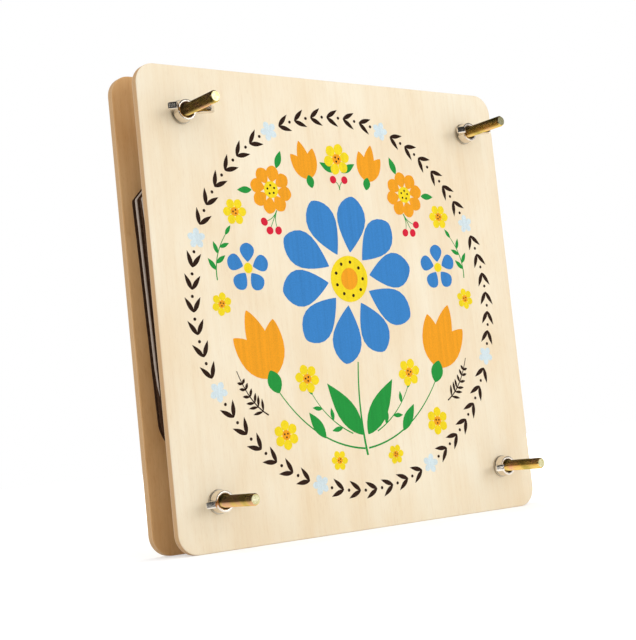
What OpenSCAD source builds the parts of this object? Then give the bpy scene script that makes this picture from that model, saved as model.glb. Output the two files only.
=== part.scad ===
// A flower press: two square boards squeeze a stack of corrugated cards and blotting papers
// between them, drawn together by a bolt with a wing nut at each corner.
// It stands on its lower edges: X runs to the right seen from the front, Z runs up,
// and the front board looks towards -Y.
// The origin is on the bottom edge of the back board, midway along it and midway through it.

/* [Boards] */
// Width of each board
board_w = 200; // [150:1:300]
// Height of each board
board_h = 200; // [150:1:300]
// Thickness of each board
board_t = 3.8; // [3.2:0.1:8]
// Radius of a board's corners
board_corner_r = 9; // [4:0.5:16]
// Slight angle at which a corner's round meets the straight edges
corner_meeting_angle = 2.5; // [1:0.5:5]
// Bevel that eases every edge of a board
board_edge_bevel = 0.4; // [0.2:0.1:0.8]
// Distance from a board's edges to the axes of the bolts
bolt_inset = 20; // [14:0.5:28]

/* [Bolts and washers] */
// Outer diameter of the bolts' thread
bolt_d = 5; // [4:0.5:6]
// Length of a bolt, from under its head to its tip
bolt_l = 50; // [46:1:70]
// Bevel at a bolt's tip
bolt_tip_bevel = 0.7; // [0.3:0.1:1]
// Diameter of a bolt's domed head
bolt_head_d = 13; // [10.5:0.5:16]
// Height of a bolt's head
bolt_head_h = 2.8; // [2:0.1:3.6]
// Height of the straight rim below the dome of the head
bolt_head_rim = 0.6; // [0.3:0.1:1]
// How much wider than the thread the square neck under the head is
bolt_neck_extra = 0.5; // [0.4:0.1:0.8]
// Depth of the square neck
bolt_neck_depth = 3; // [1.5:0.1:3]
// Outer diameter of a washer
washer_d = 10; // [9:0.5:14]
// Thickness of a washer
washer_t = 1; // [0.5:0.1:1.6]

/* [Wing nuts] */
// Wall of a nut's hub at its foot
nut_foot_wall = 2.2; // [1.8:0.1:3]
// Wall of a nut's hub at its top
nut_top_wall = 1.5; // [1.2:0.1:1.8]
// Height of a nut's hub
nut_hub_h = 4.2; // [3.6:0.1:7]
// Height of the straight band at the foot of the hub
nut_foot_band = 0.8; // [0.6:0.1:1.2]
// Bevel under the foot of the hub
nut_foot_bevel = 0.4; // [0.2:0.1:0.5]
// Depth of the funnel at the mouth of the thread
nut_funnel_depth = 0.9; // [0.4:0.1:1.5]
// Thickness of the lip round the funnel
nut_lip = 0.4; // [0.3:0.1:0.8]
// Height of a nut over its wing tips
nut_h = 10; // [8:0.5:14]
// Distance across both wing tips
wing_span = 22.5; // [18:0.5:28]
// Thickness of a wing
wing_t = 2.3; // [1.4:0.1:3.2]
// Radius of a wing's round tip
wing_tip_r = 2.6; // [1.8:0.1:3.2]
// Radius of a wing's root in the hub
wing_root_r = 1.7; // [1.2:0.1:1.7]

/* [Sheets] */
// Distance from a board's edges to the straight sides of the sheets
sheet_margin = 6; // [3:0.5:12]
// Room between a bolt and the cut corner of the sheets
sheet_bolt_room = 9.5; // [3:0.5:15]
// Number of corrugated cards, each parted from the next by two blotting papers
card_count = 5; // [3:1:8]
// Thickness of a corrugated card
card_t = 2.4; // [1.5:0.1:3]
// Thickness of the two liners of a card
card_liner_t = 0.3; // [0.15:0.05:0.35]
// Distance from one flute to the next
flute_pitch = 3.4; // [2.6:0.1:6]
// Thickness of the fluted paper where it is glued to a liner
flute_crest_t = 0.2; // [0.15:0.05:0.3]
// Width of the flat crest of a flute
flute_crest_w = 0.5; // [0.3:0.05:0.6]
// Width of a flute's slanted wall, measured along the card
flute_wall_w = 0.25; // [0.15:0.05:0.35]
// Thickness of a blotting paper
paper_t = 0.5; // [0.2:0.05:1]
// Angle by which the loose stack has turned between the boards
stack_turn = 1.5; // [0:0.5:3]

/* [Clearances] */
// Room round a bolt in a board, on each side
hole_room = 0.2; // [0.1:0.05:0.4]
// Room round a bolt's square neck in the back board, on each side
neck_room = 0.05; // [0.02:0.01:0.1]
// Room round a bolt in a washer, on each side
washer_room = 0.15; // [0.1:0.05:0.3]
// Running room round a bolt in a nut, on each side
nut_room = 0.05; // [0.02:0.01:0.1]
// Gap between flat faces that rest on each other but move apart
face_gap = 0.01; // [0.01:0.01:0.05]

/* [Hidden] */
// Corner name, its side, its level and the angle at which its nut came to rest
corners = [
    ["top_left", -1, 1, 0],
    ["top_right", 1, 1, 3],
    ["bottom_left", -1, -1, 4],
    ["bottom_right", 1, -1, 3]
];

$fn = 96;
// How far a cutting shape runs past what it cuts
overrun = 1;

// Radii round a bolt's axis
bolt_r = bolt_d / 2;
hole_r = bolt_r + hole_room;
washer_bore_r = bolt_r + washer_room;
nut_bore_r = bolt_r + nut_room;
nut_foot_r = bolt_r + nut_foot_wall;
nut_top_r = bolt_r + nut_top_wall;
nut_funnel_r = nut_top_r - nut_lip;
neck_w = bolt_d + bolt_neck_extra;
neck_pocket_w = neck_w + 2 * neck_room;

// The two circles that a wing is drawn round, in the nut's own frame
wing_root = [nut_top_r - wing_root_r / 2, nut_hub_h / 2];
wing_tip = [wing_span / 2 - wing_tip_r, nut_h - wing_tip_r];

// Places on the way out from the middle of the back board, towards the front
back_face = -board_t / 2;
stack_start = board_t / 2;
leaf_t = card_t + 2 * paper_t + 3 * face_gap;
sheet_count = 3 * card_count - 2;
stack_t = card_count * card_t + 2 * (card_count - 1) * paper_t + (sheet_count + 1) * face_gap;
front_board_middle = stack_start + stack_t + board_t / 2;
front_face = front_board_middle + board_t / 2;
nut_seat = front_face + washer_t + face_gap;

// Outline of the sheets: their cut corners keep their distance from the bolts
sheet_w = board_w - 2 * sheet_margin;
sheet_h = board_h - 2 * sheet_margin;
bolt_x = board_w / 2 - bolt_inset;
bolt_z = board_h / 2 - bolt_inset;
corner_cut = (sheet_w + sheet_h) / 2 - bolt_x - bolt_z + sqrt(2) * (bolt_r + sheet_bolt_room);

// A flute's channel narrows from its liner to its crest, and fits between its neighbours
channel_h = card_t - 2 * card_liner_t - flute_crest_t;
channel_lean_share = (channel_h + flute_crest_t) / (2 * channel_h);
channel_foot_w = (flute_pitch / 2 - channel_lean_share * flute_crest_w - flute_wall_w)
    / (1 - channel_lean_share);
channel_count = 2 * floor((sheet_h - channel_foot_w) / flute_pitch) + 1;

// Lays a shape drawn with X to the right, Y up and Z towards the viewer into the press
module in_press(out = 0) {
    translate([0, -out, board_h / 2])
        rotate([90, 0, 0])
            children();
}

// As in_press, with the shape's own axis on the bolt of a corner
module at_bolt(corner, out = 0) {
    in_press(out)
        translate([corner[1] * bolt_x, corner[2] * bolt_z, 0])
            children();
}

// An eased edge of a board in cross-section, for an edge that lies at reach
function eased_edge(reach) = [
    [reach - board_edge_bevel, -board_t / 2],
    [reach, -board_t / 2 + board_edge_bevel],
    [reach, board_t / 2 - board_edge_bevel],
    [reach - board_edge_bevel, board_t / 2]
];

// A bar as wide as the board, with its long edges eased
module eased_bar(width, length) {
    right = eased_edge(width / 2);
    rotate([90, 0, 0])
        linear_extrude(height = length, center = true)
            polygon(concat(right, [for (point = right) -point]));
}

// A disc as thick as the board, with its rim eased
module eased_disc(radius) {
    rotate_extrude()
        polygon(concat([[0, -board_t / 2]], eased_edge(radius), [[0, board_t / 2]]));
}

// A rounded board, eased all round, with its four bolt holes
module plain_board() {
    // The corners are rounded a hair full, and the straight edges trim them
    corner_inset = board_corner_r * cos(corner_meeting_angle);
    difference() {
        intersection() {
            eased_bar(board_w, board_h + 2 * overrun);
            rotate([0, 0, 90])
                eased_bar(board_h, board_w + 2 * overrun);
            union() {
                cube(
                    [board_w + 2 * overrun, board_h - 2 * corner_inset, board_t + 2 * overrun],
                    center = true
                );
                cube(
                    [board_w - 2 * corner_inset, board_h + 2 * overrun, board_t + 2 * overrun],
                    center = true
                );
                for (side = [-1, 1], level = [-1, 1])
                    translate([
                        side * (board_w / 2 - corner_inset),
                        level * (board_h / 2 - corner_inset),
                        0
                    ])
                        eased_disc(board_corner_r);
            }
        }
        for (corner = corners)
            translate([corner[1] * bolt_x, corner[2] * bolt_z, 0])
                cylinder(r = hole_r, h = board_t + 2 * overrun, center = true);
    }
}

module back_board() {
    color("#e3c898") difference() {
        in_press() plain_board();
        for (corner = corners)
            at_bolt(corner, back_face - overrun)
                translate([-neck_pocket_w / 2, -neck_pocket_w / 2, 0])
                    cube([neck_pocket_w, neck_pocket_w, overrun + bolt_neck_depth + neck_room]);
    }
}

module front_board() {
    color("#f4e5c6") in_press(front_board_middle) plain_board();
}

// The mushroom head, hanging below the plane that it seats on
module bolt_head() {
    dome_h = bolt_head_h - bolt_head_rim;
    dome_r = (pow(bolt_head_d / 2, 2) + pow(dome_h, 2)) / (2 * dome_h);
    translate([0, 0, -bolt_head_rim])
        cylinder(d = bolt_head_d, h = bolt_head_rim);
    intersection() {
        translate([0, 0, dome_r - bolt_head_h])
            sphere(r = dome_r);
        translate([0, 0, -bolt_head_h - overrun])
            cylinder(d = bolt_head_d + 2 * overrun, h = dome_h + overrun);
    }
}

module carriage_bolt(corner) {
    color("#c9a24a") at_bolt(corner, back_face) {
        bolt_head();
        translate([-neck_w / 2, -neck_w / 2, 0])
            cube([neck_w, neck_w, bolt_neck_depth]);
        cylinder(r = bolt_r, h = bolt_l - bolt_tip_bevel);
        translate([0, 0, bolt_l - bolt_tip_bevel])
            cylinder(r1 = bolt_r, r2 = bolt_r - bolt_tip_bevel, h = bolt_tip_bevel);
    }
}

module washer(corner) {
    color("#c8ccd0") at_bolt(corner, front_face)
        difference() {
            cylinder(d = washer_d, h = washer_t);
            translate([0, 0, -overrun])
                cylinder(r = washer_bore_r, h = washer_t + 2 * overrun);
        }
}

module nut_hub() {
    rotate_extrude() polygon([
        [0, 0],
        [nut_foot_r - nut_foot_bevel, 0],
        [nut_foot_r, nut_foot_bevel],
        [nut_foot_r, nut_foot_band],
        [nut_top_r, nut_hub_h],
        [0, nut_hub_h]
    ]);
}

// The flat shape between two circles of different size: both circles and the strip that
// touches them along both of its sides
module tongue(start, start_r, end, end_r) {
    reach = norm(end - start);
    along = (end - start) / reach;
    across = [-along[1], along[0]];
    lean = (start_r - end_r) / reach;
    upper = along * lean + across * sqrt(1 - lean * lean);
    lower = along * lean - across * sqrt(1 - lean * lean);
    translate(start) circle(r = start_r);
    translate(end) circle(r = end_r);
    polygon([
        start + start_r * upper,
        start + start_r * lower,
        end + end_r * lower,
        end + end_r * upper
    ]);
}

module wing() {
    rotate([90, 0, 0])
        linear_extrude(height = wing_t, center = true)
            tongue(wing_root, wing_root_r, wing_tip, wing_tip_r);
}

module wing_nut(corner) {
    color("#d5d8db") at_bolt(corner, nut_seat)
        rotate([0, 0, corner[3]])
            difference() {
                union() {
                    nut_hub();
                    for (turn = [0, 180])
                        rotate([0, 0, turn]) wing();
                }
                translate([0, 0, -overrun])
                    cylinder(r = nut_bore_r, h = nut_hub_h + 2 * overrun);
                translate([0, 0, nut_hub_h - nut_funnel_depth])
                    cylinder(r1 = nut_bore_r, r2 = nut_funnel_r, h = nut_funnel_depth);
            }
}

module sheet_outline() {
    x = sheet_w / 2;
    y = sheet_h / 2;
    polygon([
        [x - corner_cut, y],
        [corner_cut - x, y],
        [-x, y - corner_cut],
        [-x, corner_cut - y],
        [corner_cut - x, -y],
        [x - corner_cut, -y],
        [x, corner_cut - y],
        [x, y - corner_cut]
    ]);
}

// A card seen along its flutes: two liners with a fluted paper between them
module card_section() {
    difference() {
        translate([-sheet_h / 2, 0])
            square([sheet_h, card_t]);
        for (channel = [0 : channel_count - 1]) {
            facing = channel % 2 == 0 ? 1 : -1;
            foot = facing > 0 ? card_liner_t : card_t - card_liner_t;
            translate([(channel - (channel_count - 1) / 2) * flute_pitch / 2, foot])
                polygon([
                    [-channel_foot_w / 2, 0],
                    [channel_foot_w / 2, 0],
                    [flute_crest_w / 2, facing * channel_h],
                    [-flute_crest_w / 2, facing * channel_h]
                ]);
        }
    }
}

// The flutes run from side to side, so their open ends show at the sides of the press
module corrugated_card(card) {
    color("#9a7350") in_press(stack_start + face_gap + (card - 1) * leaf_t)
        rotate([0, 0, stack_turn])
            intersection() {
                linear_extrude(height = card_t) sheet_outline();
                rotate([90, 0, 90])
                    linear_extrude(height = sheet_w + 2 * overrun, center = true)
                        card_section();
            }
}

// Paper 0 of a pair lies on its card, and paper 1 lies on paper 0, under the next card
module blotting_paper(pair, place) {
    first = stack_start + face_gap + (pair - 1) * leaf_t + card_t + face_gap;
    color("#d8cdbb") in_press(first + place * (paper_t + face_gap))
        rotate([0, 0, stack_turn])
            linear_extrude(height = paper_t) sheet_outline();
}

back_board();
front_board();
for (corner = corners) {
    carriage_bolt(corner);
    washer(corner);
    wing_nut(corner);
}
for (card = [1 : card_count]) {
    corrugated_card(card);
}
for (pair = [1 : card_count - 1]) {
    blotting_paper(pair, 0);
    blotting_paper(pair, 1);
}
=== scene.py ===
import cmath
import math
import random

import bmesh
import bpy
import numpy as np
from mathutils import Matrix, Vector


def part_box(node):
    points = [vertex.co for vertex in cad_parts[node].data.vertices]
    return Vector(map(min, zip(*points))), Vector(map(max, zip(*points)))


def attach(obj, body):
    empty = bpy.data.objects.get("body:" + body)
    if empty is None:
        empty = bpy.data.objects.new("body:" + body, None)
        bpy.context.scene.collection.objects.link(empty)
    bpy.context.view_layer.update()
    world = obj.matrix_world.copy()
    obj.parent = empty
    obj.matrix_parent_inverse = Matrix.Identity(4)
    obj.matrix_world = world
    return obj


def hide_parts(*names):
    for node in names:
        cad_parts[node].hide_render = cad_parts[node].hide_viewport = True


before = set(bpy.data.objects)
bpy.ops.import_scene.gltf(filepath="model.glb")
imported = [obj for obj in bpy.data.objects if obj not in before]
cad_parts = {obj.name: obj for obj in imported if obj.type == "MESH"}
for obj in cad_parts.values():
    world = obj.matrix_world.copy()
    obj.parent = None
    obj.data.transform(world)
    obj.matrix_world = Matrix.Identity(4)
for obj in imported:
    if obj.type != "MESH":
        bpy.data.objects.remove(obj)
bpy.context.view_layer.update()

# The press is drawn in millimetres: x to the right, up from the middle of the boards, and
# out from the middle of the back board towards the front.
MM = 0.001
BOARD_SIDE = 200.0
BOARD_RADIUS = 9.0
CORNERS = {
    "top_left": (-80.0, 80.0),
    "top_right": (80.0, 80.0),
    "bottom_left": (-80.0, -80.0),
    "bottom_right": (80.0, -80.0),
}
SHEETS = sorted(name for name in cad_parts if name.startswith(("corrugated", "blotting")))


def reach(node):
    """How far out of the back board's middle a node starts and ends."""
    low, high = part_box(node)
    return -high.y / MM, -low.y / MM


# Colours and shader nodes

def linear(code):
    """A colour written as an sRGB hex value, turned linear."""
    parts = [int(code[i:i + 2], 16) / 255 for i in (1, 3, 5)]
    return (*[p / 12.92 if p <= 0.04045 else ((p + 0.055) / 1.055) ** 2.4 for p in parts], 1.0)


def fill(tree, node, inputs):
    """Fills a node's inputs: a socket is linked, and anything else is set."""
    for name, value in inputs.items():
        if isinstance(value, bpy.types.NodeSocket):
            tree.links.new(value, node.inputs[name])
        else:
            node.inputs[name].default_value = value


def add(tree, kind, inputs=None, stops=(), **settings):
    """Adds a shader node with its settings and inputs, and the (place, hex) stops of a ramp."""
    made = tree.nodes.new("ShaderNode" + kind)
    for name, value in settings.items():
        setattr(made, name, value)
    fill(tree, made, inputs or {})
    if stops:
        elements = made.color_ramp.elements
        while len(elements) < len(stops):
            elements.new(0.5)
        for element, (place, code) in zip(elements, stops):
            element.position = place
            element.color = linear(code)
    return made


def start_finish(name):
    """A new material with its tree, its surface shader and its place in millimetres."""
    material = bpy.data.materials.new(name)
    material.use_nodes = True
    tree = material.node_tree
    surface = tree.nodes["Principled BSDF"]
    place = add(tree, "TexCoord").outputs["Object"]
    millimetres = add(tree, "VectorMath", {0: place, "Scale": 1 / MM}, operation="SCALE")
    return material, tree, surface, millimetres.outputs["Vector"]


def patches(tree, millimetres, size, detail=2.0, roughness=0.5):
    """Noise whose patches measure size, three lengths in millimetres."""
    scaled = add(tree, "VectorMath", {0: millimetres, 1: tuple(1 / s for s in size)},
                 operation="MULTIPLY")
    noise = add(tree, "TexNoise", {"Vector": scaled.outputs["Vector"], "Scale": 1.0,
                                   "Detail": detail, "Roughness": roughness})
    return noise.outputs["Fac"]


def birch_grain(tree, millimetres, dark, light, figure):
    """Rotary cut birch on a board's face: the grain runs upright. Gives its colour and relief."""
    # Real birch pores are about 0.1 mm wide. These are drawn wider, so that they show
    clouds = patches(tree, millimetres, (24, 24, 60), 3, 0.6)
    streaks = patches(tree, millimetres, (1.6, 1.6, 70), 4, 0.6)
    pores = patches(tree, millimetres, (0.35, 0.35, 3.2), 1)
    broad = add(tree, "ValToRGB", {"Fac": clouds}, [(0.32, dark), (0.68, light)])
    lines = add(tree, "ValToRGB", {"Fac": streaks}, [(0.3, "#e2c795"), (0.56, "#ffffff")])
    dashes = add(tree, "ValToRGB", {"Fac": pores}, [(0.3, "#c79a66"), (0.4, "#ffffff")])
    streaked = add(tree, "Mix", {0: figure, 6: broad.outputs[0], 7: lines.outputs[0]},
                   data_type="RGBA", blend_type="MULTIPLY")
    colour = add(tree, "Mix", {0: figure * 0.8, 6: streaked.outputs[2], 7: dashes.outputs[0]},
                 data_type="RGBA", blend_type="MULTIPLY")
    height = add(tree, "Math", {0: streaks, 1: pores}, operation="ADD")
    return colour.outputs[2], height.outputs[0]


def birch_plywood(name, middle, thickness, front_tones, back_tones, figure):
    # Birch plywood, three rotary cut plies glued crosswise and sanded: pale upright grain on
    # the faces and the eased edges, and between them a darker end-grain core and two glue lines.
    material, tree, surface, millimetres = start_finish(name)
    front_face, height = birch_grain(tree, millimetres, *front_tones, figure)
    back_face, _ = birch_grain(tree, millimetres, *back_tones, figure)
    split = add(tree, "SeparateXYZ", {0: millimetres})
    off_middle = add(tree, "Math", {0: split.outputs["Y"], 1: middle}, operation="ADD")
    at_back = add(tree, "Math", {0: off_middle.outputs[0], 1: 0.0}, operation="GREATER_THAN")
    face = add(tree, "Mix", {0: at_back.outputs[0], 6: front_face, 7: back_face},
               data_type="RGBA")
    end_grain = patches(tree, millimetres, (0.5, 0.22, 0.5), 3, 0.7)
    core = add(tree, "ValToRGB", {"Fac": end_grain}, [(0.3, "#ca9e6c"), (0.7, "#ddb78a")])
    veneer = add(tree, "ValToRGB", {"Fac": end_grain}, [(0.25, "#d2a97a"), (0.7, "#e2be93")])
    # From 0 in the middle of the board to 1 on its faces
    depth = add(tree, "Math", {0: off_middle.outputs[0]}, operation="ABSOLUTE")
    share = add(tree, "Math", {0: depth.outputs[0], 1: thickness / 2}, operation="DIVIDE")
    in_core = add(tree, "ValToRGB", {"Fac": share.outputs[0]},
                  [(0.5, "#ffffff"), (0.52, "#000000")])
    at_glue = add(tree, "ValToRGB", {"Fac": share.outputs[0]},
                  [(0.49, "#000000"), (0.505, "#ffffff"), (0.53, "#ffffff"), (0.545, "#000000")])
    on_face = add(tree, "ValToRGB", {"Fac": share.outputs[0]},
                  [(0.74, "#000000"), (0.86, "#ffffff")])
    plies = add(tree, "Mix", {0: in_core.outputs[0], 6: veneer.outputs[0], 7: core.outputs[0]},
                data_type="RGBA")
    edge = add(tree, "Mix", {0: at_glue.outputs[0], 6: plies.outputs[2], 7: linear("#b58b5e")},
               data_type="RGBA")
    colour = add(tree, "Mix", {0: on_face.outputs[0], 6: edge.outputs[2], 7: face.outputs[2]},
                 data_type="RGBA")
    bump = add(tree, "Bump", {"Height": height, "Distance": 0.03 * MM, "Strength": 1.0})
    fill(tree, surface, {"Base Color": colour.outputs[2], "Roughness": 0.6,
                         "Specular IOR Level": 0.2, "Normal": bump.outputs["Normal"]})
    return material


def printing_ink(name, code):
    # Screen printing ink on bare birch: flat, opaque and a little glossier than the wood,
    # with the grain still showing faintly through. Its specks are drawn coarser than the mesh of
    # a real screen, so that they show.
    material, tree, surface, millimetres = start_finish(name)
    streaks = patches(tree, millimetres, (1.6, 1.6, 70), 4, 0.6)
    speck = patches(tree, millimetres, (0.5, 0.5, 0.5), 2)
    shade = add(tree, "ValToRGB", {"Fac": streaks}, [(0.3, "#e6e6e6"), (0.6, "#ffffff")])
    thin = add(tree, "ValToRGB", {"Fac": speck}, [(0.35, "#ececec"), (0.6, "#ffffff")])
    shaded = add(tree, "Mix", {0: 0.5, 6: linear(code), 7: shade.outputs[0]},
                 data_type="RGBA", blend_type="MULTIPLY")
    colour = add(tree, "Mix", {0: 0.6, 6: shaded.outputs[2], 7: thin.outputs[0]},
                 data_type="RGBA", blend_type="MULTIPLY")
    bump = add(tree, "Bump", {"Height": streaks, "Distance": 0.03 * MM, "Strength": 1.0})
    fill(tree, surface, {"Base Color": colour.outputs[2], "Roughness": 0.55,
                         "Specular IOR Level": 0.12, "Normal": bump.outputs["Normal"]})
    return material


def plated_metal(name, stops, roughness, size, depth_mm):
    """Plated metal: its tints wander over patches of a size, and its surface ripples."""
    material, tree, surface, millimetres = start_finish(name)
    tint = patches(tree, millimetres, (size, size, size), 2)
    colour = add(tree, "ValToRGB", {"Fac": tint}, stops)
    # The ripple is drawn coarser than the crystals of real plating, so that it shows
    fine = patches(tree, millimetres, (size / 6, size / 6, size / 6), 3, 0.6)
    low, high = roughness
    dull = add(tree, "MapRange", {"Value": fine, "To Min": low, "To Max": high})
    bump = add(tree, "Bump", {"Height": fine, "Distance": depth_mm * MM, "Strength": 1.0})
    fill(tree, surface, {"Base Color": colour.outputs[0], "Metallic": 1.0,
                         "Roughness": dull.outputs["Result"], "Normal": bump.outputs["Normal"]})
    return material


def sheet_stock(name, stops, fibre, roughness, depth_mm):
    """Paper or card: matt, with fibres of the given length and width running both ways."""
    # Real fibres are 0.03 mm wide: they are drawn coarser, so that they show
    material, tree, surface, millimetres = start_finish(name)
    length, width = fibre
    lengthwise = patches(tree, millimetres, (length, width, width), 3, 0.65)
    crosswise = patches(tree, millimetres, (width, width, length), 3, 0.65)
    fibres = add(tree, "Math", {0: lengthwise, 1: crosswise}, operation="MULTIPLY").outputs[0]
    colour = add(tree, "ValToRGB", {"Fac": fibres}, stops)
    bump = add(tree, "Bump", {"Height": fibres, "Distance": depth_mm * MM, "Strength": 1.0})
    fill(tree, surface, {"Base Color": colour.outputs[0], "Roughness": roughness,
                         "Specular IOR Level": 0.2, "Normal": bump.outputs["Normal"]})
    return material


# Yellow passivated zinc on steel: golden, with a drift towards pink and olive.
YELLOW_ZINC = plated_metal(
    "yellow_zinc_plated_steel",
    [(0.3, "#b7a250"), (0.5, "#e4c06c"), (0.7, "#e5af85")], (0.18, 0.3), 7.0, 0.004)
# Nickel plate over a casting: bright and smooth, with the casting's soft ripple.
NICKEL = plated_metal(
    "nickel_plated_casting",
    [(0.3, "#e1d7ca"), (0.7, "#f3ebdf")], (0.1, 0.22), 6.0, 0.1)
# Tapped thread in a nut's bore: cut in the bare casting and dull, painted dark as the shade down
# the bore and its funnel.
BORE_PAINTED_SHADE = plated_metal(
    "tapped_bore_painted_shade",
    [(0.3, "#4a3f34"), (0.7, "#6b5d4e")], (0.4, 0.6), 1.2, 0.02)
# Bright zinc on stamped steel: paler and a little duller than the nickel.
BRIGHT_ZINC = plated_metal(
    "bright_zinc_plated_steel",
    [(0.3, "#bfb5a4"), (0.7, "#d2cabc")], (0.36, 0.5), 1.5, 0.006)
# Sheared end of a plated bolt: the same yellow film, thin and pale over bright zinc.
SHEARED_ZINC = plated_metal(
    "thinly_plated_bolt_end",
    [(0.3, "#c8c084"), (0.7, "#eae4c2")], (0.12, 0.24), 1.6, 0.01)
# Kraft liner board: brown paper pulp rolled flat, matt with long fibres. Its brown is painted
# darker, as the shade between the boards where the sheets stand.
SHADE_DARKENED_KRAFT_LINER = sheet_stock(
    "kraft_liner_shade_darkened", [(0.12, "#4d3627"), (0.42, "#6c4f3a")], (2.2, 0.18), 0.85, 0.02)
# Fluting medium: thinner brown paper, corrugated between hot rollers, painted nearly black as the
# shade inside the flutes.
PAINTED_SHADE_KRAFT = sheet_stock(
    "kraft_painted_flute_shade", [(0.12, "#3a2312"), (0.42, "#553822")], (1.6, 0.16), 0.9, 0.015)
# Blotting paper: soft unsized pulp, greyish white and quite matt, and painted a little darker still
# as the shade between the boards.
SHADE_GREYED_BLOTTING = sheet_stock(
    "blotting_paper_shade_greyed", [(0.1, "#b9aca0"), (0.4, "#d0c3b7")], (1.2, 0.2), 0.95, 0.03)

INKS = {
    "blue": printing_ink("blue_ink", "#3a86cc"),
    "orange": printing_ink("orange_ink", "#f9a51c"),
    "yellow": printing_ink("yellow_ink", "#fbdf1e"),
    "green": printing_ink("green_ink", "#219a3e"),
    "red": printing_ink("red_ink", "#df1d3a"),
    "brown": printing_ink("dark_brown_ink", "#301808"),
    "pale": printing_ink("pale_blue_ink", "#dcebf0"),
}


# Meshes

def at(x, up, out):
    """A point of the press, in millimetres, in the frame of the part."""
    return Vector((x, -out, BOARD_SIDE / 2 + up)) * MM


def whole_turn(steps):
    """Angles in equal steps once round."""
    return [2 * math.pi * i / steps for i in range(steps)]


def quarter_turn(steps):
    """Angles in equal steps from 0 to 90 degrees."""
    return [math.pi / 2 * i / steps for i in range(steps + 1)]


def ring_between(bm, lower, upper):
    """The faces of a closed wall between two loops."""
    count = len(lower)
    for i in range(count):
        j = (i + 1) % count
        bm.faces.new((lower[i], lower[j], upper[j], upper[i]))


def slab(bm, outer, walls=()):
    """A plate: outer, and the wall of each hole, is a stack of loops from back to front."""
    ends = [[], []]
    for stack in (outer, *walls):
        rings = [[bm.verts.new(point) for point in loop] for loop in stack]
        for lower, upper in zip(rings, rings[1:]):
            ring_between(bm, lower, upper)
        for end, ring in zip(ends, (rings[0], rings[-1])):
            end += [bm.edges.get((ring[i - 1], ring[i])) for i in range(len(ring))]
    for end in ends:
        bmesh.ops.triangle_fill(bm, use_beauty=True, edges=end)


def lathe(bm, centre, profile, segments=64):
    """Turns a closed profile of (radius, out) points round an axis that points out."""
    x, up = centre
    rings = []
    for radius, out in profile:
        if radius == 0:
            rings.append([bm.verts.new(at(x, up, out))] * segments)
        else:
            rings.append([bm.verts.new(at(x + radius * math.cos(a), up + radius * math.sin(a), out))
                          for a in whole_turn(segments)])
    for lower, upper in zip(rings, rings[1:] + rings[:1]):
        for i in range(segments):
            j = (i + 1) % segments
            corners = list(dict.fromkeys((lower[i], lower[j], upper[j], upper[i])))
            if len(corners) > 2:
                bm.faces.new(corners)


def piece(name, bm, materials, body, stands_for=(), sharp_degrees=32):
    """Makes a mesh into a piece of the press, riding on a body."""
    bmesh.ops.remove_doubles(bm, verts=bm.verts, dist=1e-8)
    bmesh.ops.recalc_face_normals(bm, faces=bm.faces)
    mesh = bpy.data.meshes.new(name)
    bm.to_mesh(mesh)
    bm.free()
    mesh.shade_smooth()
    mesh.set_sharp_from_angle(angle=math.radians(sharp_degrees))
    for material in materials:
        mesh.materials.append(material)
    made = bpy.data.objects.new(name, mesh)
    bpy.context.scene.collection.objects.link(made)
    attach(made, body)
    if stands_for:
        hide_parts(*stands_for)


def rounded(corners, radii, steps):
    """The outline of a convex shape with its corners rounded, as (x, up) complex numbers."""
    points = []
    for before, corner, after, radius in zip(corners[-1:] + corners, corners,
                                             corners[1:] + corners[:1], radii):
        to_before = (before - corner) / abs(before - corner)
        to_after = (after - corner) / abs(after - corner)
        half = abs(cmath.phase(to_after / to_before)) / 2
        to_middle = (to_before + to_after) / abs(to_before + to_after)
        middle = corner + to_middle * radius / math.sin(half)
        start = corner + to_before * radius / math.tan(half) - middle
        end = corner + to_after * radius / math.tan(half) - middle
        sweep = cmath.phase(end / start)
        points += [middle + start * cmath.exp(1j * sweep * i / steps) for i in range(steps + 1)]
    return points


def offset_loop(points, inset, out):
    """A loop at a depth, drawn in by an inset along its own normals."""
    loop = []
    for before, point, after in zip(points[-1:] + points, points, points[1:] + points[:1]):
        along = after - before
        inward = along / abs(along) * 1j * inset
        loop.append(at((point + inward).real, (point + inward).imag, out))
    return loop


def eased(points, start, end, ease, steps=3):
    """A stack of loops from start to end whose long edges are rounded by ease."""
    back = [(ease * (1 - math.sin(a)), start + ease * (1 - math.cos(a)))
            for a in quarter_turn(steps)]
    front = [(inset, start + end - out) for inset, out in reversed(back)]
    return [offset_loop(points, inset, out) for inset, out in back + front]


# Boards

def square_corners(half):
    return [complex(x * half, y * half) for x, y in ((-1, -1), (1, -1), (1, 1), (-1, 1))]


HOLE_STEPS = 40


def round_wall(centre, radius, out):
    return [at(centre[0] + radius * math.cos(a), centre[1] + radius * math.sin(a), out)
            for a in whole_turn(HOLE_STEPS)]


def square_wall(centre, half, out):
    points = []
    for a in whole_turn(HOLE_STEPS):
        far = half / max(abs(math.cos(a)), abs(math.sin(a)))
        points.append(at(centre[0] + far * math.cos(a), centre[1] + far * math.sin(a), out))
    return points


BOARD_CORNER_STEPS = 20
BOARD_OUTLINE = rounded(square_corners(BOARD_SIDE / 2), [BOARD_RADIUS] * 4, BOARD_CORNER_STEPS)
BOARD_EASE = 0.55
HOLE_RADIUS = 2.7
HOLE_EASE = 0.2
NECK_POCKET_HALF = 2.8
NECK_POCKET_DEPTH = 3.05


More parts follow.
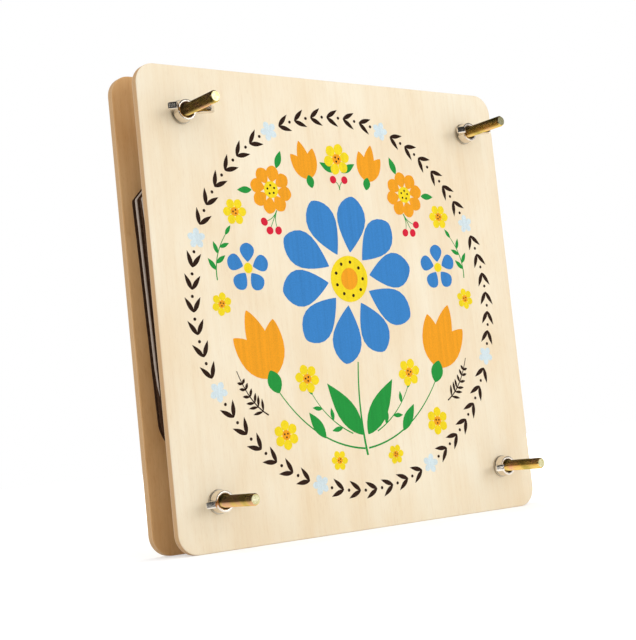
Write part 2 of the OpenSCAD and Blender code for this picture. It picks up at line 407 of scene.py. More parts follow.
def board(node, body, pockets, front_tones, back_tones, figure):
    """A plywood board, with square pockets for the bolts' necks or with plain holes. Each face
    has its own tones, and figure says how strongly the grain shows."""
    start, end = reach(node)
    walls = []
    for centre in CORNERS.values():
        if pockets:
            back = [square_wall(centre, NECK_POCKET_HALF, start),
                    square_wall(centre, NECK_POCKET_HALF, start + NECK_POCKET_DEPTH),
                    round_wall(centre, HOLE_RADIUS, start + NECK_POCKET_DEPTH)]
        else:
            back = [round_wall(centre, HOLE_RADIUS + HOLE_EASE, start),
                    round_wall(centre, HOLE_RADIUS, start + HOLE_EASE)]
        walls.append(back + [round_wall(centre, HOLE_RADIUS, end - HOLE_EASE),
                             round_wall(centre, HOLE_RADIUS + HOLE_EASE, end)])
    bm = bmesh.new()
    slab(bm, eased(BOARD_OUTLINE, start, end, BOARD_EASE), walls)
    finish = birch_plywood(node + "_birch_plywood", (start + end) / 2, end - start, front_tones,
                           back_tones, figure)
    piece("plywood_" + node, bm, [finish], body, [node])


PALE_VENEER = ("#f2debd", "#f8ecd3")
# The back board's inner face gets darker tan tones: painted shade of the narrow gap between the
# boards. Its rear face is pale like the front board.
SHADED_VENEER = ("#cf9f68", "#e0b784")
board("back_board", "root", True, SHADED_VENEER, PALE_VENEER, 0.2)
board("front_board", "front_board", False, PALE_VENEER, PALE_VENEER, 0.1)


# Bolts

THREAD_PITCH = 0.8
THREAD_CREST = 2.49
THREAD_ROOT = 2.07
# The thread's radius at shares of one pitch: a crest, and then a wider root
THREAD_FORM = [(0.0, THREAD_CREST), (0.06, THREAD_CREST), (0.42, THREAD_ROOT), (0.64, THREAD_ROOT)]
THREAD_SEGMENTS = 36
# The thread starts inside the square neck
THREAD_START = 1.5
TIP_RADIUS = 2.0
NECK_ROOM = 0.05
NECK_CORNER_RADIUS = 0.3
NECK_CORNER_STEPS = 4
# The neck starts inside the head and ends in a bevel
NECK_SUNK = 0.2
NECK_LENGTH = 3.0
NECK_BEVEL = 0.2
NECK_BEVEL_INSET = 0.25
HEAD_RADIUS = 6.5
HEAD_RIM = 0.6
HEAD_EASE = 0.12
DOME_STEPS = 12
# Below 1, this makes the dome a little flatter on top and fuller at its rim
DOME_FULLNESS = 0.9


def thread(bm, centre, start, end):
    """A right-hand screw thread, bevelled at both ends."""
    turns = math.ceil((end - start) / THREAD_PITCH) + 2
    rows = turns * len(THREAD_FORM)
    grid = []
    for row in range(rows + len(THREAD_FORM)):
        share, form_radius = THREAD_FORM[row % len(THREAD_FORM)]
        line = []
        for i, a in enumerate(whole_turn(THREAD_SEGMENTS)):
            out = start + THREAD_PITCH * (row // len(THREAD_FORM) + share - i / THREAD_SEGMENTS)
            out = min(max(out, start), end)
            bevel = TIP_RADIUS + min(out - start, end - out)
            radius = min(form_radius, bevel)
            line.append(bm.verts.new(
                at(centre[0] - radius * math.cos(a), centre[1] + radius * math.sin(a), out)))
        grid.append(line)
    per_turn = len(THREAD_FORM)
    for row in range(rows - 1):
        for i in range(THREAD_SEGMENTS):
            if i + 1 < THREAD_SEGMENTS:
                right, right_next = grid[row][i + 1], grid[row + 1][i + 1]
            elif row >= per_turn:
                right, right_next = grid[row - per_turn][0], grid[row - per_turn + 1][0]
            else:
                continue
            bm.faces.new((grid[row][i], right, right_next, grid[row + 1][i]))


def bolt(corner):
    """A carriage bolt: thread, square neck and domed head."""
    centre = CORNERS[corner]
    head_end, tip = reach("bolt_" + corner)
    seat = reach("back_board")[0]
    bm = bmesh.new()
    thread(bm, centre, seat + THREAD_START, tip)
    bmesh.ops.remove_doubles(bm, verts=bm.verts, dist=1e-7)
    bmesh.ops.dissolve_degenerate(bm, edges=bm.edges, dist=1e-7)
    loose = [edge for edge in bm.edges if edge.is_boundary]
    bmesh.ops.holes_fill(bm, edges=loose, sides=0)
    for face in bm.faces:
        if all(abs(-v.co.y / MM - tip) < 0.01 for v in face.verts):
            face.material_index = 1
    corners = square_corners(NECK_POCKET_HALF - NECK_ROOM)
    neck = rounded([c + complex(*centre) for c in corners], [NECK_CORNER_RADIUS] * 4,
                   NECK_CORNER_STEPS)
    slab(bm, [offset_loop(neck, 0.0, seat - NECK_SUNK),
              offset_loop(neck, 0.0, seat + NECK_LENGTH - NECK_BEVEL),
              offset_loop(neck, NECK_BEVEL_INSET, seat + NECK_LENGTH)])
    dome_height = seat - head_end - HEAD_RIM
    dome = [(HEAD_RADIUS * math.sin(a) ** DOME_FULLNESS, head_end + dome_height * (1 - math.cos(a)))
            for a in quarter_turn(DOME_STEPS)]
    profile = dome + [(HEAD_RADIUS, seat - HEAD_EASE), (HEAD_RADIUS - HEAD_EASE, seat), (0, seat)]
    lathe(bm, centre, profile)
    piece("carriage_bolt_" + corner, bm, [YELLOW_ZINC, SHEARED_ZINC], "root", ["bolt_" + corner])


# Washers: stamped, so the back edge is drawn over and the front edge is sharp
WASHER_BORE = 2.65
WASHER_RIM = 5.0
WASHER_ROUND = 0.3
WASHER_ROUND_STEPS = 6
WASHER_BEVEL = 0.06


def flat_washer(corner):
    start, end = reach("washer_" + corner)
    bm = bmesh.new()
    drawn = [(WASHER_RIM - WASHER_ROUND * (1 - math.sin(a)),
              start + WASHER_ROUND * (1 - math.cos(a)))
             for a in quarter_turn(WASHER_ROUND_STEPS)]
    profile = [(WASHER_BORE, start), *drawn, (WASHER_RIM, end - WASHER_BEVEL),
               (WASHER_RIM - WASHER_BEVEL, end), (WASHER_BORE, end)]
    lathe(bm, CORNERS[corner], profile)
    piece("flat_washer_" + corner, bm, [BRIGHT_ZINC], "front_board", ["washer_" + corner])


# Wing nuts: the casting is one smooth body, so it is drawn as a distance field and skinned

HUB_RADIUS = 4.7
HUB_TOP_RADIUS = 4.35
HUB_HEIGHT = 4.2
HUB_EDGE = 0.35
FOOT_BAND = 0.8
# Where a wing starts, out from the axis and up from the seat, and which way it leans
WING_ROOT = (4.3, 1.75)
WING_LEAN = (0.61, 0.7925)
WING_FOOT = 1.0
WING_LENGTH = 8.6
WING_END_BLEND = 1.1
WING_FOOT_BLEND = 0.5
# Half a wing's width and thickness at its root, and what each gains on every millimetre
WING_HALF_WIDTH, WING_WIDENING = 1.0, 0.18
WING_HALF_THICKNESS, WING_THICKENING = 1.25, 0.03
WING_THICKENS_TO = 9
WING_EDGE = 0.7
WING_TO_HUB = 0.5
SEAT_EDGE = 0.15
BORE_RADIUS = 2.55
FUNNEL_RADIUS = 3.4
FUNNEL_DEPTH = 0.9
LIP_EDGE = 0.14
# The bore's painted shade ends here, inside the funnel's edge
BORE_SHADE_RADIUS = 3.2
NUT_LOW, NUT_HIGH, NUT_CELL = (-11.6, -5.2, -0.5), (11.6, 5.2, 10.4), 0.22
NUT_ANGLES = {"top_left": 0, "top_right": 3, "bottom_left": 4, "bottom_right": 3}


def smooth_min(a, b, blend):
    """The nearer of two distances, blended where they are about alike."""
    share = np.clip(0.5 + 0.5 * (b - a) / blend, 0, 1)
    return b * (1 - share) + a * share - blend * share * (1 - share)


def smooth_max(a, b, blend):
    return -smooth_min(-a, -b, blend)


def nut_body(points):
    """Distance to the nut's surface: x along the wings, y across them and z out, in mm."""
    x, y, z = points[..., 0], points[..., 1], points[..., 2]
    radius = np.hypot(x, y)
    # The hub tapers from its foot band to its top
    taper = (HUB_RADIUS - HUB_TOP_RADIUS) / (HUB_HEIGHT - FOOT_BAND)
    cone = (radius - HUB_RADIUS + taper * (z - FOOT_BAND)) / math.hypot(1, taper)
    hub = smooth_max(np.maximum(cone, radius - HUB_RADIUS),
                     np.abs(z - HUB_HEIGHT / 2) - HUB_HEIGHT / 2, HUB_EDGE)
    # Each wing leans out from its root, widens and thickens, and ends blunt
    px, pz = np.abs(x) - WING_ROOT[0], z - WING_ROOT[1]
    along = px * WING_LEAN[0] + pz * WING_LEAN[1]
    across = np.abs(pz * WING_LEAN[0] - px * WING_LEAN[1])
    edges = (across - WING_HALF_WIDTH - WING_WIDENING * along) / math.hypot(1, WING_WIDENING)
    flat = smooth_max(edges, along - WING_LENGTH, WING_END_BLEND)
    flat = smooth_max(flat, -WING_FOOT - along, WING_FOOT_BLEND)
    side = np.abs(y) - (WING_HALF_THICKNESS + WING_THICKENING * np.clip(along, 0, WING_THICKENS_TO))
    wing = (np.hypot(np.maximum(flat + WING_EDGE, 0), np.maximum(side + WING_EDGE, 0))
            + np.minimum(np.maximum(flat, side) + WING_EDGE, 0) - WING_EDGE)
    body = smooth_min(hub, wing, WING_TO_HUB)
    body = smooth_max(body, -z, SEAT_EDGE)
    bore = radius - BORE_RADIUS
    flare = (FUNNEL_RADIUS - BORE_RADIUS) / FUNNEL_DEPTH
    funnel = (bore - (z - HUB_HEIGHT + FUNNEL_DEPTH) * flare) / math.hypot(1, flare)
    return smooth_max(body, -np.minimum(bore, funnel), LIP_EDGE)


def skinned(shape, low, high, cell):
    """Points and quads of the surface where shape is 0, one point in each cell it crosses."""
    axes = [np.arange(a, b + cell, cell) for a, b in zip(low, high)]
    nodes = np.stack(np.meshgrid(*axes, indexing="ij"), -1)
    inside = shape(nodes) < 0
    cells = [n - 1 for n in inside.shape]
    filled = sum(inside[i:i + cells[0], j:j + cells[1], k:k + cells[2]].astype(int)
                 for i in (0, 1) for j in (0, 1) for k in (0, 1))
    crossed = (filled > 0) & (filled < 8)
    number = np.full(crossed.shape, -1)
    number[crossed] = np.arange(crossed.sum())
    # Each point starts in the middle of its cell and steps to the surface
    points = nodes[:-1, :-1, :-1][crossed] + cell / 2
    step = cell * 0.05
    for _ in range(6):
        value = shape(points)
        slope = np.stack([(shape(points + step * axis) - shape(points - step * axis)) / (2 * step)
                          for axis in np.eye(3)], -1)
        size = np.maximum((slope ** 2).sum(-1), 0.2)
        points = points - slope * (value / size)[:, None]
    quads = []
    for axis in range(3):
        one, two = [d for d in range(3) if d != axis]
        here = np.take(inside, range(cells[axis]), axis)
        there = np.take(inside, range(1, cells[axis] + 1), axis)
        spots = np.argwhere(here != there)
        spots = spots[(spots[:, one] > 0) & (spots[:, two] > 0)
                      & (spots[:, one] < cells[one]) & (spots[:, two] < cells[two])]
        shift_one, shift_two = np.eye(3, dtype=int)[one], np.eye(3, dtype=int)[two]
        around = [spots, spots - shift_one, spots - shift_one - shift_two, spots - shift_two]
        quads.append(np.stack([number[tuple(spot.T)] for spot in around], -1))
    return points, np.concatenate(quads)


NUT_POINTS, NUT_QUADS = skinned(nut_body, NUT_LOW, NUT_HIGH, NUT_CELL)


def wing_nut(corner):
    seat = reach("wing_nut_" + corner)[0]
    x, up = CORNERS[corner]
    turn = math.radians(NUT_ANGLES[corner])
    bm = bmesh.new()
    made = [bm.verts.new(at(x + px * math.cos(turn) - py * math.sin(turn),
                            up + px * math.sin(turn) + py * math.cos(turn), seat + max(pz, 0)))
            for px, py, pz in NUT_POINTS]
    for quad in NUT_QUADS:
        face = bm.faces.new([made[i] for i in quad])
        # Faces inside that radius get the bore's painted shade
        face.material_index = int(np.hypot(*NUT_POINTS[quad, :2].T).max() < BORE_SHADE_RADIUS)
    piece("cast_wing_nut_" + corner, bm, [NICKEL, BORE_PAINTED_SHADE], "wing_nut_" + corner,
          ["wing_nut_" + corner], 60)


for corner in CORNERS:
    bolt(corner)
    flat_washer(corner)
    wing_nut(corner)


# Sheets

SHEET_HALF = 94.0
SHEET_CUT = 44.97
SHEET_CORNER_RADIUS = 1.6
SHEET_CORNER_STEPS = 8
# Each cut wanders a little between points about this far apart, by up to this share
CUT_STEP = 4
CUT_WANDER = 0.0012
# The loose stack has turned a little between the boards
SHEET_TURN = cmath.exp(1j * math.radians(1.5))
LINER = 0.3
LINER_EDGE = 0.06
LINER_EDGE_INSET = 0.05
PAPER_EDGE = 0.1
FLUTE_PITCH = 3.4
FLUTE_STEPS = 12
FLUTE_PAPER = 0.2
# The flutes were crushed back a little by the knife that cut the cards
FLUTE_INSET = 0.5
FLUTE_WANDER = 0.25
# No two sheets are cut alike. For each: how much smaller than its node it is on every side, how
# far its left edge slants in towards the bottom, and how round its lower left corner is worn
SHEET_FIT = {"corrugated_card_1": (0.0, 0.0, 14.0), "blotting_paper_1a": (0.0, 0.0, 66.0),
             "blotting_paper_1b": (0.0, 0.0, 70.0), "corrugated_card_2": (0.5, 0.0, 14.0),
             "blotting_paper_2a": (0.9, 4.8, 14.0), "blotting_paper_2b": (0.8, 5.0, 14.0),
             "corrugated_card_3": (1.0, 0.0, 14.0)}
OTHER_SHEET_FIT = (1.6, 0.0, 14.0)


def octagon(inset, slant, low_radius):
    """The outline of a sheet as it was cut, with softened corners and a worn lower left one."""
    a, b = SHEET_HALF - inset, SHEET_HALF - SHEET_CUT
    corners = [complex(x, y) for x, y in ((-b, -a), (b, -a), (a, -b), (a, b), (b, a), (-b, a),
                                          (-a, b), (slant - a, -b))]
    return rounded(corners, [SHEET_CORNER_RADIUS] * 7 + [low_radius], SHEET_CORNER_STEPS)


def sheet_outline(wobble, fit):
    """The octagon of a sheet, cut a little unevenly and turned."""
    points = octagon(*fit)
    outline = []
    for first, second in zip(points, points[1:] + points[:1]):
        count = max(1, round(abs(second - first) / CUT_STEP))
        outline += [first + (second - first) * i / count for i in range(count)]
    return [p * SHEET_TURN * (1 - wobble.uniform(0, CUT_WANDER)) for p in outline]


def paper(node, fit):
    start, end = reach(node)
    wobble = random.Random(node)
    outline = sheet_outline(wobble, fit)
    bm = bmesh.new()
    middle = (start + end) / 2
    slab(bm, [offset_loop(outline, PAPER_EDGE, start),
              offset_loop(outline, 0.0, start + PAPER_EDGE),
              offset_loop(outline, wobble.uniform(0.02, 0.12), middle),
              offset_loop(outline, 0.0, end - PAPER_EDGE),
              offset_loop(outline, PAPER_EDGE, end)])
    # The paper's colour carries painted shade of the gap between the boards
    piece("sheet_" + node, bm, [SHADE_GREYED_BLOTTING], node, [node])


def card(node, fit):
    """Two liners and the wave of fluting between them, whose open ends face left and right."""
    start, end = reach(node)
    wobble = random.Random(node)
    bm = bmesh.new()
    for back, inner_end in ((start, start + LINER), (end - LINER, end - LINER)):
        front = back + LINER
        outline = sheet_outline(wobble, fit)
        slab(bm, [offset_loop(outline, LINER_EDGE_INSET, back),
                  offset_loop(outline, 0.0, back + LINER_EDGE),
                  offset_loop(outline, 0.0, front - LINER_EDGE),
                  offset_loop(outline, LINER_EDGE_INSET, front)])
        # The side that is glued to the flutes gets the same painted shade as their hollows
        for face in bm.faces:
            if all(abs(-v.co.y / MM - inner_end) < 0.001 for v in face.verts):
                face.material_index = 1
    liner_faces = len(bm.faces)
    middle = (start + end) / 2
    swing = (end - start) / 2 - LINER - FLUTE_PAPER / 2
    count = int(2 * SHEET_HALF / FLUTE_PITCH * FLUTE_STEPS)
    edge = octagon(*fit)
    reach_up = max(p.imag for p in edge) - FLUTE_INSET
    rows = []
    phase = wobble.uniform(0, 2 * math.pi)
    for i in range(count + 1):
        up = (i / count * 2 - 1) * reach_up
        # Where the sheet's outline is at this height
        crossed = [a.real + (b.real - a.real) * (up - a.imag) / (b.imag - a.imag)
                   for a, b in zip(edge, edge[1:] + edge[:1]) if (a.imag > up) != (b.imag > up)]
        left, right = (far - FLUTE_INSET - wobble.uniform(0, FLUTE_WANDER)
                       for far in (-min(crossed), max(crossed)))
        out = middle + swing * math.sin(2 * math.pi * up / FLUTE_PITCH + phase)
        row = []
        for x, side in ((-left, -1), (right, -1), (right, 1), (-left, 1)):
            spot = complex(x, up) * SHEET_TURN
            row.append(bm.verts.new(at(spot.real, spot.imag, out + side * FLUTE_PAPER / 2)))
        rows.append(row)
    for lower, upper in zip(rows, rows[1:]):
        ring_between(bm, lower, upper)
    bm.faces.new(rows[0])
    bm.faces.new(rows[-1])
    bm.faces.ensure_lookup_table()
    # The flutes' walls get the painted shade of their hollows, and their cut ends take the liners'
    # colour
    for face in bm.faces[liner_faces:]:
        face.normal_update()
        face.material_index = int(abs(face.normal.x) < 0.7)
    piece("sheet_" + node, bm, [SHADE_DARKENED_KRAFT_LINER, PAINTED_SHADE_KRAFT], node, [node])


for name in SHEETS:
    make = card if name.startswith("corrugated") else paper
    make(name, SHEET_FIT.get(name, OTHER_SHEET_FIT))


# The print on the front board. Outlines are complex numbers: x is real and up is imaginary.

draw = random.Random(7)


def blade(length, width, belly=0.5, blunt=1.0, steps=12):
    """A leaf or petal that starts at 0 and lies along x. Its belly is its widest place."""
    power = math.log(0.5) / math.log(belly)
    shares = [(1 - math.cos(math.pi * i / steps)) / 2 for i in range(steps + 1)]
    side = [complex(s * length, width / 2 * math.sin(math.pi * s ** power) ** blunt)
            for s in shares]
    return side[:-1] + [p.conjugate() for p in reversed(side[1:])]


def blob(radius, wobble=0.04, steps=28):
    """A round spot drawn by hand."""
    tilt, phase = draw.uniform(0, wobble), draw.uniform(0, 2 * math.pi)
    return [radius * (1 + tilt * math.cos(2 * a + phase)) * cmath.exp(1j * a)
            for a in whole_turn(steps)]


def curve(start, bend, end, steps=14):
    return [(1 - t) ** 2 * start + 2 * t * (1 - t) * bend + t * t * end
            for t in (i / steps for i in range(steps + 1))]


def strand(path, width):
    """A thin stem along a path, tapering to its end."""
    left, right = [], []
    for i, point in enumerate(path):
        along = path[min(i + 1, len(path) - 1)] - path[max(i - 1, 0)]
        side = along / abs(along) * 1j * width / 2 * (1 - 0.5 * i / len(path))
        left.append(point + side)
        right.append(point - side)
    return right + left[::-1]


def moved(outline, to=0, turn_degrees=0, size=1.0):
    spin = cmath.exp(1j * math.radians(turn_degrees)) * size
    return [to + p * spin for p in outline]


PRINT = {}


def print_shape(film, ink, outline, to=0, turn_degrees=0, size=1.0):
    """Adds an outline to a printed film: the shapes of one film and ink are one piece."""
    PRINT.setdefault((film, ink), []).append(moved(outline, to, turn_degrees, size))


def garland_ring():
    """A ring of paired dark leaves and berries, with pale blossoms between some of them."""
    count, radius = 56, 83.0
    for i in range(count):
        heading = 90 - 360 * i / count
        spot = cmath.rect(radius, math.radians(heading))
        if i % 7 == 3:
            for k in range(5):
                print_shape("ring_blossoms", "pale", blade(4.4, 3.0, 0.6, 0.6), spot,
                            72 * k + heading)
            continue
        along = heading - 90
        start = spot - cmath.rect(3.2, math.radians(along))
        for lean in (31, -31):
            print_shape("ring_garland", "brown", blade(7.4, 2.1, 0.42), start,
                        along + lean + draw.uniform(-3, 3))
        print_shape("ring_garland", "brown", blob(0.7), spot + cmath.rect(3.4, math.radians(along)))


def great_flower(centre):
    count = 10
    for i in range(count):
        heading = 360 * i / count + 8
        petal = blade(25.5 + draw.uniform(-1.2, 1.2), 16.2, 0.62, 0.62)
        print_shape("great_flower_petals", "blue", petal,
                    centre + cmath.rect(12.0, math.radians(heading)), heading)
    print_shape("great_flower_heart", "yellow", blob(10.4, 0.03, 40), centre)
    for i in range(9):
        print_shape("great_flower_seeds", "brown", blob(0.75),
                    centre + cmath.rect(7.6, math.tau * i / 9))
    print_shape("great_flower_seeds", "orange", blob(4.8), centre)


def marigold(centre, turn=0.0):
    for i in range(8):
        print_shape("marigold_petals", "orange", blade(7.6, 6.4, 0.6, 0.6),
                    centre + cmath.rect(3.2, math.radians(45 * i + turn)), 45 * i + turn)
    print_shape("marigold_hearts", "yellow", blob(3.7), centre)
    for i in range(5):
        print_shape("marigold_seeds", "brown", blob(0.5, steps=14),
                    centre + cmath.rect(1.9, math.radians(72 * i + turn)))


def tulip(base, heading, size=1.0):
    tip = cmath.rect(1, math.radians(heading))
    for lean, length, width in ((-27, 19, 9.5), (27, 19, 9.5), (0, 21, 8.5)):
        print_shape("tulip_petals", "orange", blade(length, width, 0.45, 0.75),
                    base + tip * (2.2 if lean else 4.5) * size, heading + lean, size)
    print_shape("tulip_calyx", "green", blade(8, 5.5, 0.5, 0.7), base - tip * 3.5 * size, heading,
                size)


def star_flower(centre, size=1.0, turn=0.0):
    for i in range(6):
        print_shape("star_flower_petals", "yellow", blade(5.2, 4.3, 0.6, 0.6),
                    centre + cmath.rect(1.2 * size, math.radians(60 * i + turn)),
                    60 * i + turn, size)
    print_shape("star_flower_hearts", "orange", blob(2.1), centre, 0, size)
    for i in range(3):
        print_shape("star_flower_seeds", "brown", blob(0.42, steps=14),
                    centre + cmath.rect(0.95 * size, math.radians(120 * i + turn)), 0, size)


def forget_me_not(centre, size=1.0, turn=0.0):
    for i in range(5):
        print_shape("small_flower_petals", "blue", blade(7.4, 6.6, 0.62, 0.55),
                    centre + cmath.rect(2.4 * size, math.radians(72 * i + turn)),
                    72 * i + turn, size)
    print_shape("small_flower_hearts", "yellow", blob(2.0), centre, 0, size)


def leafy_stem(start, bend, end, leaves, length, width=0.55):
    """A thin stem with leaves set alternately on both sides, and one at its end."""
    path = curve(start, bend, end)
    print_shape("stems", "green", strand(path, width))
    for i in range(leaves):
        share = (i + 1) / (leaves + 1)
        k = round(share * (len(path) - 2))
        heading = math.degrees(cmath.phase(path[k + 1] - path[k]))
        side = 1 if i % 2 == 0 else -1
        size = length * (1 - 0.25 * share)
        print_shape("leaves", "green", blade(size, size * 0.36, 0.45), path[k], heading + side * 42)
    print_shape("leaves", "green", blade(length * 0.8, length * 0.28, 0.45), end,
                math.degrees(cmath.phase(path[-1] - path[-2])))


def berry_spray(start, heading, reach_mm, count=3, spread=24):
    for i in range(count):
        lean = heading + spread * (i - (count - 1) / 2)
        far = reach_mm * (1 - 0.12 * abs(i - (count - 1) / 2))
        tip = start + cmath.rect(far, math.radians(lean))
        bend = start + cmath.rect(far * 0.55, math.radians(heading))
        print_shape("stems", "green", strand(curve(start, bend, tip), 0.45))
        print_shape("berries", "red", blob(1.75, 0.08), tip)


def fern(start, bend, end, pairs=7):
    """A fern drawn in dark lines."""
    path = curve(start, bend, end, 28)
    print_shape("ferns", "brown", strand(path, 0.6))
    for i in range(pairs):
        k = 4 + round(i * 22 / pairs)
        heading = math.degrees(cmath.phase(path[k + 1] - path[k]))
        length = 5.4 * (1 - 0.6 * i / pairs)
        for side in (-1, 1):
            print_shape("ferns", "brown", blade(length, 1.3, 0.5), path[k], heading + side * 50)


def mirrored(draw_motif):
    """Draws a motif on the right and, turned over, on the left."""
    for side in (1, -1):
        draw_motif(lambda point, s=side: complex(s * point.real, point.imag),
                   lambda heading, s=side: heading if s == 1 else 180 - heading)


def bouquet():
    great_flower(complex(0, 10))
    main_stem = curve(complex(0, -68), complex(-3, -48), complex(0, -27))
    print_shape("stems", "green", strand(main_stem, 1.1))

    def half(p, h):
        # big leaves and tulips on bowed stems below the great flower
        print_shape("leaves", "green", blade(29, 10, 0.42), p(complex(1.5, -59)), h(54))
        print_shape("stems", "green", strand(curve(p(complex(1, -65)), p(complex(28, -62)),
                                                   p(complex(45, -37))), 0.8))
        tulip(p(complex(46, -34)), h(70), 1.3)
        print_shape("leaves", "green", blade(14, 5.2, 0.45), p(complex(22, -59)), h(56))
        leafy_stem(p(complex(7, -58)), p(complex(20, -52)), p(complex(27, -40)), 3, 6.5)
        star_flower(p(complex(29, -33)), 1.0, h(10))
        star_flower(p(complex(43, -56)), 1.0, h(25))
        star_flower(p(complex(16, -69)), 0.7, h(5))
        fern(p(complex(51, -47)), p(complex(60, -42)), p(complex(65, -28)), 6)
        # the shoulders
        forget_me_not(p(complex(54, 15)), 1.1, h(20))
        star_flower(p(complex(69, 0)), 0.78, h(40))
        leafy_stem(p(complex(70, 10)), p(complex(71, 20)), p(complex(64, 29)), 4, 6.5)
        star_flower(p(complex(58, 39)), 0.92, h(0))
        marigold(p(complex(38, 49)), h(12))
        berry_spray(p(complex(36, 40)), h(-62), 10, 3, 27)
        for heading, length in ((-2, 7.5), (112, 8.5)):
            print_shape("leaves", "green", blade(length, length * 0.4, 0.45),
                        p(complex(38, 49) + cmath.rect(10.2, math.radians(heading))), h(heading))
        tulip(p(complex(16, 53)), h(76), 0.74)

    mirrored(half)
    star_flower(complex(0, 64), 1.15, 12)
    berry_spray(complex(0, 50), 90, 6, 2, 70)
    for side in (-1, 1):
        print_shape("leaves", "green", blade(9, 3.4, 0.45), complex(side * 2, 58), 90 - side * 62)


garland_ring()
bouquet()

# Films are printed in this order, each a little over the last. The shapes of one film overlap
# too, so they lie on a few levels in turn
FILM_ORDER = ["ring_blossoms", "ring_garland", "stems", "leaves", "great_flower_petals",
              "small_flower_petals", "tulip_petals", "tulip_calyx", "marigold_petals",
              "star_flower_petals", "ferns", "berries", "small_flower_hearts", "marigold_hearts",
              "star_flower_hearts", "marigold_seeds", "star_flower_seeds", "great_flower_heart",
              "great_flower_seeds"]
FILM_SUNK = 0.02
FILM_FIRST = 0.02
FILM_STEP = 0.006
SHAPE_STEP = 0.001
SHAPE_LEVELS = 5


def anticlockwise(outline):
    """The outline turned the way that the slabs want it."""
    area = sum((a.conjugate() * b).imag for a, b in zip(outline, outline[1:] + outline[:1]))
    return outline if area > 0 else outline[::-1]


face_out = reach("front_board")[1]
for (film, ink), outlines in PRINT.items():
    bm = bmesh.new()
    for i, outline in enumerate(outlines):
        outline = anticlockwise(outline)
        top = (face_out + FILM_FIRST + FILM_STEP * FILM_ORDER.index(film)
               + SHAPE_STEP * (i % SHAPE_LEVELS))
        slab(bm, [offset_loop(outline, 0.0, face_out - FILM_SUNK), offset_loop(outline, 0.0, top)])
    piece(f"print_{film}_{ink}", bm, [INKS[ink]], "front_board")


# Studio: a pale floor, soft lamps and a white surround

# The level direction away from the camera, and the one that the floor's sheen grows in
BEHIND = (0.617, 0.787, 0.0)
FLOOR_BEHIND = (0.75, 0.66, 0.0)


def floor_finish():
    # Matt white paper sweep: it keeps the press's shadow and turns to pure white further off.
    material = bpy.data.materials.new("white_paper_sweep")
    material.use_nodes = True
    tree = material.node_tree
    tree.nodes.clear()
    out = add(tree, "OutputMaterial")
    paper_side = add(tree, "BsdfDiffuse", {"Color": linear("#dedede")})
    place = add(tree, "TexCoord").outputs["Object"]
    away = add(tree, "VectorMath", {0: place}, operation="LENGTH")
    strength = add(tree, "MapRange", {"Value": away.outputs["Value"], "From Min": 0.1,
                                      "From Max": 0.4, "To Min": 0.4, "To Max": 1.0})
    path = add(tree, "LightPath")
    seen = add(tree, "Math", {0: path.outputs["Is Camera Ray"],
                              1: path.outputs["Is Transmission Ray"]}, operation="MAXIMUM")
    glow = add(tree, "Math", {0: seen.outputs[0], 1: strength.outputs["Result"]},
               operation="MULTIPLY")
    white = add(tree, "Emission", {"Color": (1, 1, 1, 1), "Strength": glow.outputs[0]})
    both = add(tree, "AddShader", {0: paper_side.outputs[0], 1: white.outputs[0]})
    # In the metal the floor is white under and behind the press and dim on the camera's side
    behind = add(tree, "VectorMath", {0: place, 1: FLOOR_BEHIND}, operation="DOT_PRODUCT")
    sheen = add(tree, "MapRange", {"Value": behind.outputs["Value"], "From Min": -0.26,
                                   "From Max": -0.06, "To Min": 0.03, "To Max": 1.3})
    in_metal = add(tree, "Emission", {"Color": (1, 1, 1, 1), "Strength": sheen.outputs["Result"]})
    surface = add(tree, "MixShader", {0: path.outputs["Is Glossy Ray"], 1: both.outputs[0],
                                      2: in_metal.outputs[0]})
    tree.links.new(surface.outputs[0], out.inputs["Surface"])
    return material


FLOOR_HALF = 6.0
floor_mesh = bpy.data.meshes.new("floor")
floor_mesh.from_pydata([(c.real, c.imag, 0.0) for c in square_corners(FLOOR_HALF)], [],
                       [(0, 1, 2, 3)])
floor_mesh.materials.append(floor_finish())
floor = bpy.data.objects.new("floor", floor_mesh)
bpy.context.scene.collection.objects.link(floor)

world = bpy.data.worlds.new("studio")
bpy.context.scene.world = world
world.use_nodes = True
tree = world.node_tree
tree.nodes.clear()
path = add(tree, "LightPath")
direction = add(tree, "TexCoord").outputs["Generated"]
heading = add(tree, "SeparateXYZ", {0: direction})
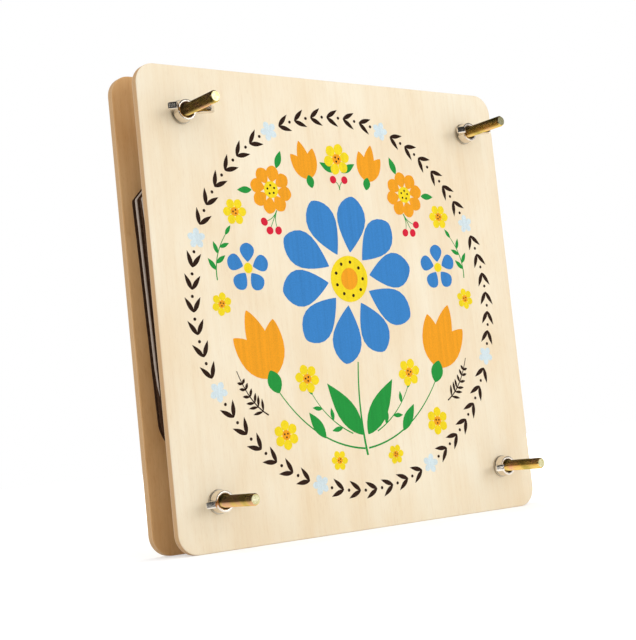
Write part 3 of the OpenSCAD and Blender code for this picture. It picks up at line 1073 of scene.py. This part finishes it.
# In the metal, the backdrop behind the press is white, and the camera's side and the ceiling dim
behind = add(tree, "VectorMath", {0: direction, 1: BEHIND}, operation="DOT_PRODUCT")
backdrop = add(tree, "MapRange", {"Value": behind.outputs["Value"], "From Min": -0.45,
                                  "From Max": 0.35, "To Min": 0.04, "To Max": 1.0})
ceiling = add(tree, "MapRange", {"Value": heading.outputs["Z"], "From Min": 0.1, "From Max": 0.6,
                                 "To Min": 1.0, "To Max": 0.16})
mirror = add(tree, "Math", {0: backdrop.outputs["Result"], 1: ceiling.outputs["Result"]},
             operation="MULTIPLY")
soft = add(tree, "Background", {"Color": (1, 1, 1, 1), "Strength": 0.94})
seen_in_metal = add(tree, "Background", {"Color": (1, 1, 1, 1), "Strength": mirror.outputs[0]})
white = add(tree, "Background", {"Color": (1, 1, 1, 1), "Strength": 1.0})
metal_or_soft = add(tree, "MixShader", {0: path.outputs["Is Glossy Ray"], 1: soft.outputs[0],
                                        2: seen_in_metal.outputs[0]})
through = add(tree, "Math", {0: path.outputs["Is Camera Ray"],
                             1: path.outputs["Is Transmission Ray"]}, operation="MAXIMUM")
surround = add(tree, "MixShader", {0: through.outputs[0], 1: metal_or_soft.outputs[0],
                                   2: white.outputs[0]})
tree.links.new(surround.outputs[0], add(tree, "OutputWorld").inputs["Surface"])


PRESS_MIDDLE = (0.0, 0.0, 0.1)


def softbox(name, place, size, watts):
    """A soft lamp that faces the press. Its place and size are in metres."""
    lamp = bpy.data.lights.new(name, "AREA")
    lamp.shape = "RECTANGLE"
    lamp.size, lamp.size_y = size
    lamp.energy = watts
    made = bpy.data.objects.new(name, lamp)
    made.location = place
    away = Vector(place) - Vector(PRESS_MIDDLE)
    made.rotation_euler = away.to_track_quat("Z", "Y").to_euler()
    bpy.context.scene.collection.objects.link(made)


softbox("key_softbox", (0.42, -1.7, 0.13), (1.6, 1.5), 13.5)
softbox("catchlight", (-1.11, -0.75, 0.52), (0.25, 0.25), 0.25)

# The camera's place in metres, its turn in degrees and its lens follow from both boards' edges
CAMERA_PLACE = (-0.39052, -0.49505, 0.03654)
CAMERA_TURN = (95.3128, 5.9492, -37.5177)
CAMERA_LENS = 78.48
camera_data = bpy.data.cameras.new("camera")
camera_data.sensor_width = 36.0
camera_data.lens = CAMERA_LENS
camera_data.clip_start = 0.01
camera = bpy.data.objects.new("camera", camera_data)
camera.location = CAMERA_PLACE
camera.rotation_euler = [math.radians(a) for a in CAMERA_TURN]
bpy.context.scene.collection.objects.link(camera)
bpy.context.scene.camera = camera
bpy.context.scene.view_settings.view_transform = "Standard"
